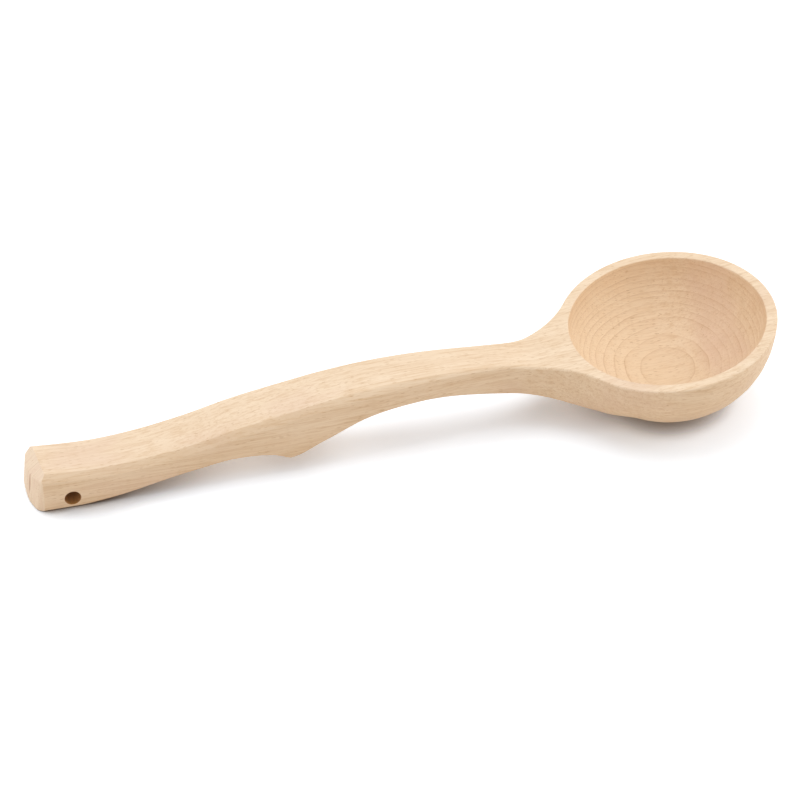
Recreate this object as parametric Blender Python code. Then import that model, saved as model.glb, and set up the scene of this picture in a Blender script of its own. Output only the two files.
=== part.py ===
"""Wooden sauna ladle, carved from one board: bowl, arched handle with a hooking spur, drilled butt.

Metres, +Z up. X runs from the butt to the bowl's front, and the ladle is the same on both sides of
Y = 0 apart from the slightly skewed face of its end. It stands on the floor, Z = 0, on the flat under
its butt and on its bowl. Shape is worked out about the bowl's centre, and the whole is then moved so
that the origin lies on the floor under the middle of the ladle's bounding box.
"""
import math

import bmesh
import bpy
from mathutils import Vector

# Bowl
BOWL_RADIUS = 0.0557          # outside, at the rim
RIM_WIDTH = 0.0057            # flat rim, from the outside to the hollow
RIM_HEIGHT = 0.0463           # rim above the floor at the bowl's centre
RIM_SLOPE_DEG = 5.7           # the bowl rests with its front tipped up
BOWL_ROUNDNESS = 2.14         # exponent of the outside's curve, where 2 is an ellipse
HOLLOW_ROUNDNESS = 2.1
BOWL_FLOOR = 0.0065           # wood under the hollow's lowest point
RIM_EASE = 0.0005             # worn edge around the rim

# Neck, where the handle flares into the bowl
WAIST_HALF_WIDTH = 0.0102
NECK_FILLET = 0.054           # plan radius of the flare
MERGE_DEG = 105               # around the bowl, from its front to where the neck's swell dies out
MERGE_START = 0.010           # behind the waist, where the lower edges begin to round
MERGE_LENGTH = 0.072          # over which they grow into the bowl's curve
MERGE_POWER = 3.0             # softness of the fold between the neck's underside and the bowl
BOX_ROUNDNESS = 30.0          # the handle's square section, its lower edges hardly rounded
NECK_EASE = 0.0011            # small bevel on the neck's upper edges
NECK_TOP_LENGTH = 0.019       # from the waist to where the handle's top meets the rim's plane
NECK_UNDER_LENGTH = 0.0265    # from the waist to where the underside meets the bowl's wall
NECK_UNDER = 0.0185           # height of the underside there
KEEL_LENGTH = 0.0312          # from there on toward the bowl's lowest point
KEEL_UNDER = 0.0060           # height of the underside there

# Stretches of the handle, from the waist back to the butt
ARCH_LENGTH = 0.0445
FOREGRIP_LENGTH = 0.027
SPUR_FACE_LENGTH = 0.023
SPUR_TIP_LENGTH = 0.017
HOOK_LENGTH = 0.026
RISE_LENGTH = 0.024
DIP_LENGTH = 0.044
HEEL_LENGTH = 0.013
BUTT_LENGTH = 0.0237          # the flat that stands on the floor
SPUR_NOSE_LENGTH = 0.0047     # of the spur's rounded tip, part of the hook's stretch

# Heights of the underside above the floor
WAIST_UNDER = 0.0236
ARCH_UNDER = 0.0292           # the arch between spur and bowl
FOREGRIP_UNDER = 0.0256
SPUR_FACE_UNDER = 0.0155
SPUR_UNDER = 0.0087           # the spur's tip
SPUR_NOSE_UNDER = 0.0109      # where the tip's rounding begins, behind
HOOK_UNDER = 0.0142           # the hollow behind the spur
RISE_UNDER = 0.0108
DIP_UNDER = 0.0013
BUTT_SLOPE = -0.07            # of the top, at the butt's end

# Thicknesses, underside to top
WAIST_DEPTH = 0.0174
ARCH_DEPTH = 0.0138
FOREGRIP_DEPTH = 0.0160
SPUR_FACE_DEPTH = 0.0233
SPUR_DEPTH = 0.0271
HOOK_DEPTH = 0.0167
RISE_DEPTH = 0.0144
DIP_DEPTH = 0.0186
BUTT_DEPTH = 0.0220

# Half widths
FOREGRIP_HALF_WIDTH = 0.0144
GRIP_HALF_WIDTH = 0.0155
BUTT_HALF_WIDTH = 0.0146

# Edges of the handle
GRIP_BEVEL = 0.0034           # flat bevel along the upper edges
FOREGRIP_BEVEL = 0.0030
END_ROUND = 0.040             # plan radius of the end's face
END_ROUND_OFF = 0.0049        # its centre lies off to the +Y side, so the end is a little out of square
END_LEAN_DEG = 6.4            # of the end's face, about square to the butt's sloping top
END_TOP_BEVEL = 0.0069        # down the end's face
END_TOP_TURN_DEG = 7.2        # the bevel is cut wider toward -Y
END_UNDER_BEVEL = 0.0018      # up the end's face
END_UNDER_DEG = 20            # and this far from upright
END_BEVEL = 0.0010            # along the sides, where the end's face meets them
END_BEVEL_DEG = 55            # from square across the end

# Hanging hole, drilled through the butt from side to side
HOLE_DIAMETER = 0.0080
HOLE_FROM_END = 0.0203
HOLE_UNDER = 0.0019           # wood left under the hole
HOLE_EASE = 0.0004

# Mesh steps
SECTION_RAYS = 60             # tried around one side to find the surface
SEARCH_STEPS = 26             # halvings along each ray
SECTION_STEPS = 13            # around one side, from the upper edge to the middle of the underside
TOP_STEPS = 4                 # across the top
END_STEPS = 6                 # flats across the end's round face
STATION_STEP = 0.006          # along the handle
NECK_STEPS = 12
BOWL_STEPS = 22               # around half the bowl
HOLLOW_STEPS = 72
HOLLOW_RINGS = 14
HOLE_STEPS = 28
SHARP_DEG = 30                # edges sharper than this are drawn crisp
WELD = 1e-6                   # points closer than this are one
CUT_PAST = 0.02               # how far blanks and cutters reach past the finished wood

WOOD_COLOUR = (0.80, 0.62, 0.44, 1.0)
WOOD_ROUGHNESS = 0.55

# Places worked out from the sizes above, as distances behind the bowl's centre
FLARE_CENTRE_Y = WAIST_HALF_WIDTH + NECK_FILLET
FLARE_REACH = BOWL_RADIUS + NECK_FILLET
WAIST_AT = math.sqrt(FLARE_REACH ** 2 - FLARE_CENTRE_Y ** 2)
NECK_TOP_AT = WAIST_AT - NECK_TOP_LENGTH
NECK_AT = WAIST_AT - NECK_UNDER_LENGTH
KEEL_AT = NECK_AT - KEEL_LENGTH
MERGE_START_AT = WAIST_AT + MERGE_START
ARCH_AT = WAIST_AT + ARCH_LENGTH
FOREGRIP_AT = ARCH_AT + FOREGRIP_LENGTH
SPUR_FACE_AT = FOREGRIP_AT + SPUR_FACE_LENGTH
SPUR_AT = SPUR_FACE_AT + SPUR_TIP_LENGTH
SPUR_NOSE_AT = SPUR_AT + SPUR_NOSE_LENGTH
HOOK_AT = SPUR_AT + HOOK_LENGTH
RISE_AT = HOOK_AT + RISE_LENGTH
DIP_AT = RISE_AT + DIP_LENGTH
HEEL_AT = DIP_AT + HEEL_LENGTH
END_AT = HEEL_AT + BUTT_LENGTH
BLANK_END_AT = END_AT + CUT_PAST
HOLE_AT = END_AT - HOLE_FROM_END
HOLE_HEIGHT = HOLE_UNDER + HOLE_DIAMETER / 2
HOLLOW_RADIUS = BOWL_RADIUS - RIM_WIDTH
HOLLOW_DEPTH = RIM_HEIGHT - BOWL_FLOOR
RIM_SLOPE = math.tan(math.radians(RIM_SLOPE_DEG))
FLARE_END_ANGLE = math.atan2(FLARE_CENTRE_Y, WAIST_AT)
MERGE_ANGLE = math.radians(MERGE_DEG)


def smooth_curve(points, first_slope=0.0, last_slope=0.0):
    """Return a function: the smooth curve through (x, value) points with the given end slopes."""
    steps = [(b[1] - a[1]) / (b[0] - a[0]) for a, b in zip(points, points[1:])]
    slopes = [first_slope]
    for i in range(1, len(points) - 1):
        before = points[i][0] - points[i - 1][0]
        after = points[i + 1][0] - points[i][0]
        slopes.append((steps[i - 1] * after + steps[i] * before) / (before + after))
    slopes.append(last_slope)

    def value(x):
        x = min(max(x, points[0][0]), points[-1][0])
        i = 0
        while i < len(points) - 2 and x > points[i + 1][0]:
            i += 1
        span = points[i + 1][0] - points[i][0]
        t = (x - points[i][0]) / span
        rise = t * t * (3 - 2 * t)
        start = t * (1 - t) ** 2 * span * slopes[i]
        end = t * t * (t - 1) * span * slopes[i + 1]
        return points[i][1] * (1 - rise) + points[i + 1][1] * rise + start + end

    return value


def rim_plane(x):
    return RIM_HEIGHT + RIM_SLOPE * x


# Side view of the handle: its top, and its underside in front of and behind the spur
handle_top = smooth_curve([
    (-END_AT, BUTT_DEPTH), (-DIP_AT, DIP_UNDER + DIP_DEPTH), (-RISE_AT, RISE_UNDER + RISE_DEPTH),
    (-HOOK_AT, HOOK_UNDER + HOOK_DEPTH), (-SPUR_AT, SPUR_UNDER + SPUR_DEPTH),
    (-SPUR_FACE_AT, SPUR_FACE_UNDER + SPUR_FACE_DEPTH), (-FOREGRIP_AT, FOREGRIP_UNDER + FOREGRIP_DEPTH),
    (-ARCH_AT, ARCH_UNDER + ARCH_DEPTH), (-WAIST_AT, WAIST_UNDER + WAIST_DEPTH),
    (-NECK_TOP_AT, rim_plane(-NECK_TOP_AT))], BUTT_SLOPE, RIM_SLOPE)
back_under = smooth_curve([
    (-HEEL_AT, 0.0), (-DIP_AT, DIP_UNDER), (-RISE_AT, RISE_UNDER), (-HOOK_AT, HOOK_UNDER),
    (-SPUR_NOSE_AT, SPUR_NOSE_UNDER), (-SPUR_AT, SPUR_UNDER)])
front_under = smooth_curve([
    (-SPUR_AT, SPUR_UNDER), (-SPUR_FACE_AT, SPUR_FACE_UNDER), (-FOREGRIP_AT, FOREGRIP_UNDER),
    (-ARCH_AT, ARCH_UNDER), (-WAIST_AT, WAIST_UNDER), (-NECK_AT, NECK_UNDER),
    (-KEEL_AT, KEEL_UNDER), (0.0, 0.0)])

# Plan view of the handle, and the bevel along its upper edges
half_width = smooth_curve([
    (-HEEL_AT, BUTT_HALF_WIDTH), (-SPUR_AT, GRIP_HALF_WIDTH), (-FOREGRIP_AT, FOREGRIP_HALF_WIDTH),
    (-WAIST_AT, WAIST_HALF_WIDTH)])
upper_bevel = smooth_curve([
    (-SPUR_AT, GRIP_BEVEL), (-FOREGRIP_AT, FOREGRIP_BEVEL), (-WAIST_AT, NECK_EASE)])


def top_height(x):
    return handle_top(x) if x < -NECK_TOP_AT else rim_plane(x)


def under_height(x):
    return back_under(x) if x < -SPUR_AT else front_under(x)


def ease(t):
    return t * t * (3 - 2 * t)


def wall_share(x, y):
    """Return how far out a plan point lies: 0 at the middle, 1 on the ladle's outline."""
    back, off = -x, abs(y)
    if back >= WAIST_AT:
        return off / half_width(x)
    if off * WAIST_AT <= WAIST_HALF_WIDTH * back:
        return off / WAIST_HALF_WIDTH
    distance = math.hypot(back, off)
    if off * WAIST_AT >= FLARE_CENTRE_Y * back:
        return distance / BOWL_RADIUS
    toward = (back * WAIST_AT + off * FLARE_CENTRE_Y) / distance
    return distance / (toward - math.sqrt(toward ** 2 - FLARE_REACH ** 2 + NECK_FILLET ** 2))


def swell(share, roundness):
    """Return how far up its wall a rounded section has come, 0 to 1, at a share of the way out."""
    return 1 - (1 - share ** roundness) ** (1 / roundness)


def lower_surface(x, y):
    """Return the height of the wood's lower surface over a plan point inside the outline."""
    share = wall_share(x, y)
    if share >= 1:
        return math.inf
    top, under = top_height(x), max(0.0, under_height(x))
    box = under + (top - under) * swell(share, BOX_ROUNDNESS)
    blend = ease(min(1.0, max(0.0, (x + MERGE_START_AT) / MERGE_LENGTH)))
    roundness = BOX_ROUNDNESS * (BOWL_ROUNDNESS / BOX_ROUNDNESS) ** blend
    wall = top * swell(share, roundness)
    bowl = (wall ** MERGE_POWER + under ** MERGE_POWER) ** (1 / MERGE_POWER)
    return box + (bowl - box) * blend


def side_section(edge, keel, bevel):
    """Return one side of a section, from the upper edge down the wall and in to the keel.

    edge and keel are plan points (x, y). The surface is found along rays that turn from level to
    straight down about the point over the keel at the top's height.
    """
    reach = math.dist(edge, keel)
    top = top_height(edge[0])
    ahead = ((edge[0] - keel[0]) / reach, (edge[1] - keel[1]) / reach)
    path = [(0.0, top - bevel)]
    start = math.atan2(bevel, reach)
    for i in range(1, SECTION_RAYS + 1):
        angle = start + (math.pi / 2 - start) * i / SECTION_RAYS
        inner, outer = 0.0, math.hypot(reach, top)
        for _ in range(SEARCH_STEPS):
            middle = (inner + outer) / 2
            out, height = middle * math.cos(angle), top - middle * math.sin(angle)
            if height > lower_surface(keel[0] + ahead[0] * out, keel[1] + ahead[1] * out):
                inner = middle
            else:
                outer = middle
        path.append((reach - inner * math.cos(angle), top - inner * math.sin(angle)))
    points = [(edge[0] - ahead[0] * bevel, edge[1] - ahead[1] * bevel, top)]
    for inward, height in spread(path, SECTION_STEPS):
        points.append((edge[0] - ahead[0] * inward, edge[1] - ahead[1] * inward, height))
    return points


def spread(path, steps):
    """Return steps + 1 points along a path, set closer together where it bends."""
    lengths = [math.dist(a, b) for a, b in zip(path, path[1:])]
    total = sum(lengths)
    weights = []
    heading = None
    for (a, b), length in zip(zip(path, path[1:]), lengths):
        if length < WELD:
            weights.append(0.0)
            continue
        angle = math.atan2(b[1] - a[1], b[0] - a[0])
        bend = 0.0 if heading is None else abs(angle - heading)
        weights.append(length / total + bend / (math.pi / 2))
        heading = angle
    goal = sum(weights) / steps
    points = [path[0]]
    done = 0.0
    for (a, b), weight in zip(zip(path, path[1:]), weights):
        while weight > 0 and done + weight >= goal * len(points) and len(points) < steps:
            t = (goal * len(points) - done) / weight
            points.append((a[0] + (b[0] - a[0]) * t, a[1] + (b[1] - a[1]) * t))
        done += weight
    return points + [path[-1]]


def all_sections():
    """Return one side's sections in order from the butt, through the neck, round to the front."""
    sections = []
    stops = [-BLANK_END_AT, -END_AT, -HEEL_AT, -SPUR_AT, -WAIST_AT]
    for start, stop in zip(stops, stops[1:]):
        count = max(1, round((stop - start) / STATION_STEP))
        for i in range(count):
            x = start + (stop - start) * i / count
            sections.append(side_section((x, half_width(x)), (x, 0.0), upper_bevel(x)))
    sweep = NECK_FILLET * (math.pi / 2 - FLARE_END_ANGLE)
    merge = BOWL_RADIUS * (math.pi - FLARE_END_ANGLE - MERGE_ANGLE)
    for i in range(NECK_STEPS):
        t = i / NECK_STEPS
        angle = math.pi / 2 + (FLARE_END_ANGLE - math.pi / 2) * t
        edge = (-WAIST_AT + NECK_FILLET * math.cos(angle), FLARE_CENTRE_Y - NECK_FILLET * math.sin(angle))
        keel = (edge[0] * (1 - ease(sweep * t / (sweep + merge))), 0.0)
        sections.append(side_section(edge, keel, NECK_EASE + (RIM_EASE - NECK_EASE) * t))
    for i in range(BOWL_STEPS + 1):
        angle = (math.pi - FLARE_END_ANGLE) * (1 - i / BOWL_STEPS)
        edge = (BOWL_RADIUS * math.cos(angle), BOWL_RADIUS * math.sin(angle))
        passed = sweep + BOWL_RADIUS * (math.pi - FLARE_END_ANGLE - angle)
        keel = (edge[0] * (1 - ease(min(1.0, passed / (sweep + merge)))), 0.0)
        sections.append(side_section(edge, keel, RIM_EASE))
    return sections


def full_loop(side):
    """Return a closed loop: down one side to the keel, up the other, and back across the top."""
    mirrored = [(x, -y, z) for x, y, z in side]
    x, y, z = side[0]
    across = [(x, -y + 2 * y * i / TOP_STEPS, z) for i in range(1, TOP_STEPS)]
    return side + mirrored[-2::-1] + across


def add_object(name, mesh):
    thing = bpy.data.objects.new(name, mesh)
    bpy.context.scene.collection.objects.link(thing)
    return thing


def finish_mesh(bm, name):
    bmesh.ops.remove_doubles(bm, verts=bm.verts, dist=WELD)
    bmesh.ops.dissolve_degenerate(bm, edges=bm.edges, dist=WELD)
    bmesh.ops.recalc_face_normals(bm, faces=bm.faces)
    mesh = bpy.data.meshes.new(name)
    bm.to_mesh(mesh)
    bm.free()
    return mesh


def cut_plane(bm, point, normal):
    """Cut off what lies beyond a plane and close the cut with one flat face."""
    everything = bm.verts[:] + bm.edges[:] + bm.faces[:]
    bmesh.ops.bisect_plane(bm, geom=everything, plane_co=point, plane_no=normal, clear_outer=True)
    rim = [edge for edge in bm.edges if edge.is_boundary]
    bmesh.ops.contextual_create(bm, geom=rim)


def end_planes():
    """Return the planes of the butt's end, each a point on it and its outward direction."""
    lean = Vector((math.tan(math.radians(END_LEAN_DEG)), 0.0, 1.0))
    centre = Vector((END_ROUND - END_AT, END_ROUND_OFF, BUTT_DEPTH / 2))
    first = -math.asin((BUTT_HALF_WIDTH + END_ROUND_OFF) / END_ROUND)
    last = math.asin((BUTT_HALF_WIDTH - END_ROUND_OFF) / END_ROUND)
    planes = []
    for i in range(END_STEPS + 1):
        angle = first + (last - first) * i / END_STEPS
        out = Vector((-math.cos(angle), math.sin(angle), 0.0))
        planes.append((centre + out * END_ROUND, out - Vector((0.0, 0.0, out.dot(lean)))))
    slant, turn = math.radians(END_BEVEL_DEG), math.tan(math.radians(END_TOP_TURN_DEG))
    for side, angle in ((-1, first), (1, last)):
        corner = Vector((centre.x - END_ROUND * math.cos(angle) + END_BEVEL, side * BUTT_HALF_WIDTH, 0.0))
        planes.append((corner, Vector((-math.cos(slant), side * math.sin(slant), 0.0))))
    planes.append((Vector((-END_AT, 0.0, BUTT_DEPTH - END_TOP_BEVEL)), Vector((-1.0, -turn, 1.0))))
    foot = Vector((-END_AT, 0.0, BUTT_DEPTH / 2)) + lean * (END_UNDER_BEVEL - BUTT_DEPTH / 2)
    steep = math.radians(END_UNDER_DEG)
    planes.append((foot, Vector((-math.cos(steep), 0.0, -math.sin(steep)))))
    return planes


def make_blank():
    """Make the ladle's outside, closed over the top, as one mesh."""
    bm = bmesh.new()
    loops = []
    for side in all_sections():
        loops.append([bm.verts.new(point) for point in full_loop(side)])
    count = len(loops[0])
    for a, b in zip(loops, loops[1:]):
        for i in range(count):
            bm.faces.new((a[i], a[(i + 1) % count], b[(i + 1) % count], b[i]))
    bm.faces.new(loops[0])
    bmesh.ops.remove_doubles(bm, verts=bm.verts, dist=WELD)
    bmesh.ops.recalc_face_normals(bm, faces=bm.faces)
    for point, out in end_planes():
        cut_plane(bm, point, out.normalized())
    return finish_mesh(bm, "ladle")


def turned(name, profile, steps, place):
    """Make a closed cutter from (radius, along) points turned once round; place maps to the ladle."""
    bm = bmesh.new()
    rings = []
    for radius, along in profile:
        ring = []
        for i in range(steps):
            angle = 2 * math.pi * i / steps
            ring.append(bm.verts.new(place(radius * math.cos(angle), radius * math.sin(angle), along)))
        rings.append(ring)
    for a, b in zip(rings, rings[1:]):
        for i in range(steps):
            bm.faces.new((a[i], a[(i + 1) % steps], b[(i + 1) % steps], b[i]))
    bm.faces.new(rings[-1])
    if profile[0][0] > WELD:
        bm.faces.new(rings[0])
    cutter = add_object(name, finish_mesh(bm, name))
    cutter.hide_render = True
    cutter.display_type = "WIRE"
    return cutter


def hollow_cutter():
    """Make the bowl's hollow, whose depth is measured down from the sloping rim."""
    profile = []
    for i in range(HOLLOW_RINGS + 1):
        angle = math.pi / 2 * i / HOLLOW_RINGS
        radius = HOLLOW_RADIUS * math.sin(angle) ** (2 / HOLLOW_ROUNDNESS)
        share = max(math.cos(angle), 0.0) ** (2 / HOLLOW_ROUNDNESS)
        profile.append((radius, share))
    profile[-1] = (HOLLOW_RADIUS, RIM_EASE / HOLLOW_DEPTH)
    profile.append((HOLLOW_RADIUS + RIM_EASE, 0.0))
    profile.append((HOLLOW_RADIUS + RIM_EASE, -CUT_PAST / HOLLOW_DEPTH))

    def place(x, y, share):
        return (x, y, rim_plane(x) - (rim_plane(x) - BOWL_FLOOR) * share)

    return turned("hollow_cutter", profile, HOLLOW_STEPS, place)


def hole_cutter():
    """Make the hanging hole, with both mouths eased where they break the butt's sides."""
    radius = HOLE_DIAMETER / 2
    wall = half_width(-HOLE_AT)
    profile = [
        (radius + HOLE_EASE, -wall - CUT_PAST), (radius + HOLE_EASE, -wall), (radius, -wall + HOLE_EASE),
        (radius, wall - HOLE_EASE), (radius + HOLE_EASE, wall), (radius + HOLE_EASE, wall + CUT_PAST)]

    def place(x, z, along):
        return (x - HOLE_AT, along, z + HOLE_HEIGHT)

    return turned("hole_cutter", profile, HOLE_STEPS, place)


def wood():
    material = bpy.data.materials.new("pale_wood")
    material.use_nodes = True
    shader = material.node_tree.nodes["Principled BSDF"]
    shader.inputs["Base Color"].default_value = WOOD_COLOUR
    shader.inputs["Roughness"].default_value = WOOD_ROUGHNESS
    shader.inputs["Metallic"].default_value = 0.0
    return material


def main():
    for thing in list(bpy.data.objects):
        bpy.data.objects.remove(thing)
    mesh = make_blank()
    mesh.materials.append(wood())
    mesh.shade_smooth()
    mesh.set_sharp_from_angle(angle=math.radians(SHARP_DEG))
    ladle = add_object("ladle", mesh)
    for cutter in (hollow_cutter(), hole_cutter()):
        cut = ladle.modifiers.new(cutter.name, "BOOLEAN")
        cut.operation = "DIFFERENCE"
        cut.solver = "EXACT"
        cut.object = cutter
    back = min(vertex.co.x for vertex in mesh.vertices)
    front = max(vertex.co.x for vertex in mesh.vertices)
    for thing in bpy.data.objects:
        thing.location.x = -(front + back) / 2


main()
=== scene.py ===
"""Sauna ladle of pale beech, carved in one piece, on a white floor in soft studio light.

The CAD solid is replaced by a finer mesh worked out from the same sizes, a few of them a little
different: the bowl's lower flank is fuller, the neck slimmer underneath, the far top corner of the
butt's end sanded off, and the edges eased. Metres, +Z up, X from the butt to the bowl's front.
"""
import math

import bmesh
import bpy
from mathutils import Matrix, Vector


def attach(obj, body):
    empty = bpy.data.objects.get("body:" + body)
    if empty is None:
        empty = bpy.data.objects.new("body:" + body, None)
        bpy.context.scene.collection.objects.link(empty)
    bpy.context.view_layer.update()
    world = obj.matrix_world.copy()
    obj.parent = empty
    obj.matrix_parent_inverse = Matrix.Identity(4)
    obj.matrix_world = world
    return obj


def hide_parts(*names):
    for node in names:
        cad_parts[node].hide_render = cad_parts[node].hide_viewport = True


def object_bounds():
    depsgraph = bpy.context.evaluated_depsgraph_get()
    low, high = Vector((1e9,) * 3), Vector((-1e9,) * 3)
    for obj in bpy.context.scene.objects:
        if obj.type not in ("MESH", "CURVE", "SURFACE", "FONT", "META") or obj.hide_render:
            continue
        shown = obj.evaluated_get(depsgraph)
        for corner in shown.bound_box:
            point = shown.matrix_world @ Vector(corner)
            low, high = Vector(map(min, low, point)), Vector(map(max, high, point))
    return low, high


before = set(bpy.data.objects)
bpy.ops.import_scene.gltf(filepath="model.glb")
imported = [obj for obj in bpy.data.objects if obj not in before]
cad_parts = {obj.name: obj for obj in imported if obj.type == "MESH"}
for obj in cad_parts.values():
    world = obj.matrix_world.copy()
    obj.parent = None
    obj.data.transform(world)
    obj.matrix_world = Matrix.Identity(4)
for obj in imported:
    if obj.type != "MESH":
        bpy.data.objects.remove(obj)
cad_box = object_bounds()

# Bowl
BOWL_RADIUS = 0.0557
RIM_WIDTH = 0.0057
RIM_HEIGHT = 0.0463
RIM_SLOPE_DEG = 5.7
BOWL_ROUNDNESS = 2.195
HOLLOW_ROUNDNESS = 2.1
BOWL_FLOOR = 0.0065
RIM_EASE = 0.0005

# Neck
WAIST_HALF_WIDTH = 0.0102
NECK_FILLET = 0.054
MERGE_DEG = 103
MERGE_START = 0.0135
MERGE_LENGTH = 0.0787
MERGE_POWER = 2.0
BOX_ROUNDNESS = 30.0
NECK_EASE = 0.0011
NECK_TOP_LENGTH = 0.019
NECK_UNDER_LENGTH = 0.0255
NECK_UNDER = 0.0185
KEEL_LENGTH = 0.0347
KEEL_UNDER = 0.0052

# Stretches of the handle, from the waist back to the butt
ARCH_LENGTH = 0.0445
FOREGRIP_LENGTH = 0.027
SPUR_FACE_LENGTH = 0.023
SPUR_TIP_LENGTH = 0.017
HOOK_LENGTH = 0.026
RISE_LENGTH = 0.024
DIP_LENGTH = 0.044
HEEL_LENGTH = 0.013
BUTT_LENGTH = 0.0237
SPUR_NOSE_LENGTH = 0.0047

# Heights of the underside
WAIST_UNDER = 0.0236
ARCH_UNDER = 0.0292
FOREGRIP_UNDER = 0.0256
SPUR_FACE_UNDER = 0.0155
SPUR_UNDER = 0.0087
SPUR_NOSE_UNDER = 0.0109
HOOK_UNDER = 0.0142
RISE_UNDER = 0.0108
DIP_UNDER = 0.0013
BUTT_SLOPE = -0.07

# Thicknesses
WAIST_DEPTH = 0.0174
ARCH_DEPTH = 0.0138
FOREGRIP_DEPTH = 0.0160
SPUR_FACE_DEPTH = 0.0233
SPUR_DEPTH = 0.0271
HOOK_DEPTH = 0.0167
RISE_DEPTH = 0.0144
DIP_DEPTH = 0.0186
BUTT_DEPTH = 0.0220

# Half widths
FOREGRIP_HALF_WIDTH = 0.0144
GRIP_HALF_WIDTH = 0.0155
BUTT_HALF_WIDTH = 0.0146

# Edges of the handle
GRIP_BEVEL = 0.0034
FOREGRIP_BEVEL = 0.0030
EDGE_SOFT = 0.0004             # how far back the bevels' edges are sanded round
END_ROUND = 0.040
END_ROUND_OFF = 0.0049
END_LEAN_DEG = 6.4
END_TOP_BEVEL = 0.0069
END_TOP_TURN_DEG = 7.2
END_UNDER_BEVEL = 0.0018
END_UNDER_DEG = 20
END_BEVEL = 0.0010
END_BEVEL_DEG = 55
END_SOFT = 0.0006
END_CORNER = 0.0019            # how deep the far top corner is sanded off, and toward where
END_CORNER_OUT = (-0.80, 0.70, 0.50)

# Hanging hole
HOLE_DIAMETER = 0.0080
HOLE_FROM_END = 0.0203
HOLE_UNDER = 0.0019
HOLE_EASE = 0.0005

# Mesh steps
SECTION_RAYS = 110
SEARCH_STEPS = 20
SECTION_STEPS = 40
TOP_STEPS = 8
TOP_FLAT = 2.2                 # a side section starts this many bevels in from its edge
WALL_FLAT = 2.0                # and its wall runs straight down to this many below the top
END_STEPS = 16
STATION_STEP = 0.0022
NECK_STEPS = 40
BOWL_STEPS = 84
HOLLOW_STEPS = 256
HOLLOW_RINGS = 56
HOLE_STEPS = 64
SOFT_STEPS = 4
SOFT_SHARE = 0.45              # of a step of the path, the most that rounding takes
CUT_PAST = 0.02
WELD = 1e-6
END_CREASE_DEG = 12            # sharper edges of the butt's end are eased
SHADE_CREASE_DEG = 24          # and sharper edges of the mesh are shaded as edges

# Places behind the bowl's centre
FLARE_CENTRE_Y = WAIST_HALF_WIDTH + NECK_FILLET
FLARE_REACH = BOWL_RADIUS + NECK_FILLET
WAIST_AT = math.sqrt(FLARE_REACH ** 2 - FLARE_CENTRE_Y ** 2)
NECK_TOP_AT = WAIST_AT - NECK_TOP_LENGTH
NECK_AT = WAIST_AT - NECK_UNDER_LENGTH
KEEL_AT = NECK_AT - KEEL_LENGTH
MERGE_START_AT = WAIST_AT + MERGE_START
ARCH_AT = WAIST_AT + ARCH_LENGTH
FOREGRIP_AT = ARCH_AT + FOREGRIP_LENGTH
SPUR_FACE_AT = FOREGRIP_AT + SPUR_FACE_LENGTH
SPUR_AT = SPUR_FACE_AT + SPUR_TIP_LENGTH
SPUR_NOSE_AT = SPUR_AT + SPUR_NOSE_LENGTH
HOOK_AT = SPUR_AT + HOOK_LENGTH
RISE_AT = HOOK_AT + RISE_LENGTH
DIP_AT = RISE_AT + DIP_LENGTH
HEEL_AT = DIP_AT + HEEL_LENGTH
END_AT = HEEL_AT + BUTT_LENGTH
BLANK_END_AT = END_AT + CUT_PAST
HOLE_AT = END_AT - HOLE_FROM_END
HOLE_HEIGHT = HOLE_UNDER + HOLE_DIAMETER / 2
HOLLOW_RADIUS = BOWL_RADIUS - RIM_WIDTH
HOLLOW_DEPTH = RIM_HEIGHT - BOWL_FLOOR
RIM_SLOPE = math.tan(math.radians(RIM_SLOPE_DEG))
FLARE_END_ANGLE = math.atan2(FLARE_CENTRE_Y, WAIST_AT)
MERGE_ANGLE = math.radians(MERGE_DEG)
BOWL_X = cad_box[1].x - BOWL_RADIUS


def smooth_curve(points, first_slope=0.0, last_slope=0.0):
    """Return a function: the smooth curve through (x, value) points with the given end slopes."""
    steps = [(b[1] - a[1]) / (b[0] - a[0]) for a, b in zip(points, points[1:])]
    slopes = [first_slope]
    for i in range(1, len(points) - 1):
        before = points[i][0] - points[i - 1][0]
        after = points[i + 1][0] - points[i][0]
        slopes.append((steps[i - 1] * after + steps[i] * before) / (before + after))
    slopes.append(last_slope)

    def value(x):
        x = min(max(x, points[0][0]), points[-1][0])
        i = 0
        while i < len(points) - 2 and x > points[i + 1][0]:
            i += 1
        span = points[i + 1][0] - points[i][0]
        t = (x - points[i][0]) / span
        rise = t * t * (3 - 2 * t)
        start = t * (1 - t) ** 2 * span * slopes[i]
        end = t * t * (t - 1) * span * slopes[i + 1]
        return points[i][1] * (1 - rise) + points[i + 1][1] * rise + start + end

    return value


def rim_plane(x):
    return RIM_HEIGHT + RIM_SLOPE * x


handle_top = smooth_curve([
    (-END_AT, BUTT_DEPTH), (-DIP_AT, DIP_UNDER + DIP_DEPTH), (-RISE_AT, RISE_UNDER + RISE_DEPTH),
    (-HOOK_AT, HOOK_UNDER + HOOK_DEPTH), (-SPUR_AT, SPUR_UNDER + SPUR_DEPTH),
    (-SPUR_FACE_AT, SPUR_FACE_UNDER + SPUR_FACE_DEPTH),
    (-FOREGRIP_AT, FOREGRIP_UNDER + FOREGRIP_DEPTH), (-ARCH_AT, ARCH_UNDER + ARCH_DEPTH),
    (-WAIST_AT, WAIST_UNDER + WAIST_DEPTH), (-NECK_TOP_AT, rim_plane(-NECK_TOP_AT))],
    BUTT_SLOPE, RIM_SLOPE)
back_under = smooth_curve([
    (-HEEL_AT, 0.0), (-DIP_AT, DIP_UNDER), (-RISE_AT, RISE_UNDER), (-HOOK_AT, HOOK_UNDER),
    (-SPUR_NOSE_AT, SPUR_NOSE_UNDER), (-SPUR_AT, SPUR_UNDER)])
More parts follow.
